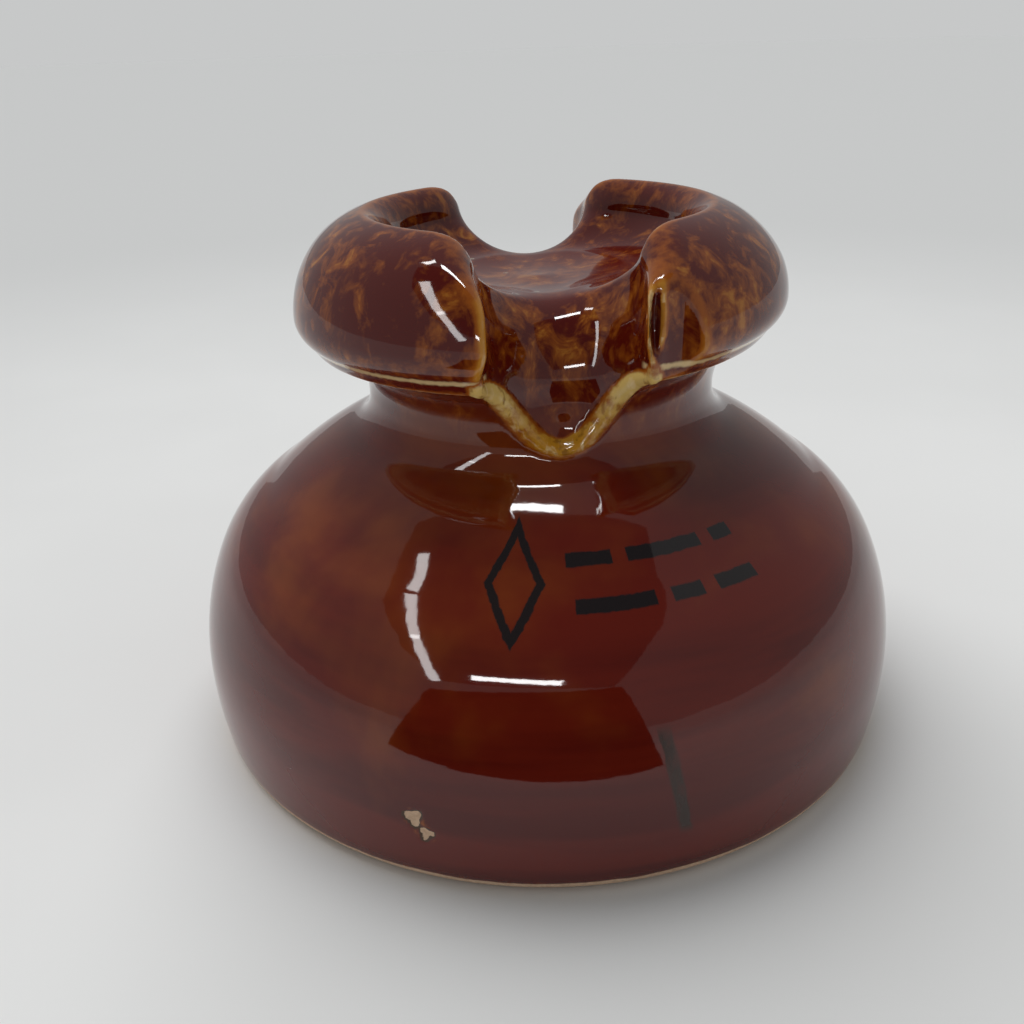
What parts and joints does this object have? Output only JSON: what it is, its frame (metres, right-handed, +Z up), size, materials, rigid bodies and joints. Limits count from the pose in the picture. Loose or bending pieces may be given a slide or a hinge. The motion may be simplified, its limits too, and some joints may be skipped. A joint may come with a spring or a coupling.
{
  "type": "pin insulator",
  "caption": "Glazed porcelain pin insulator: bell-shaped skirt, grooved neck, bowl-topped head with a conductor channel, and a cemented threaded thimble inside.",
  "frame": {"origin": "on the insulator's axis, in the plane of the skirt's rim", "axes": "+Z up along the insulator's axis, +Y along the conductor channel, flute at +X, -Y"},
  "size_m": [0.1778, 0.1778, 0.127],
  "materials": {
    "brown_glaze": "gloss",
    "sanded_porcelain": "rough",
    "portland_cement": "matte",
    "bitumen": "satin",
    "zinc": "satin",
    "cork": "matte",
    "seal_compound": "matte"
  },
  "bodies": {
    "root": {"porcelain_shell": "brown_glaze", "pinhole_sand_band": "sanded_porcelain", "thimble_cement": "portland_cement", "bitumen_coat": "bitumen", "zinc_thimble": "zinc", "crown_cork_disc": "cork", "cement_face_seal": "seal_compound"}
  },
  "joints": []
}
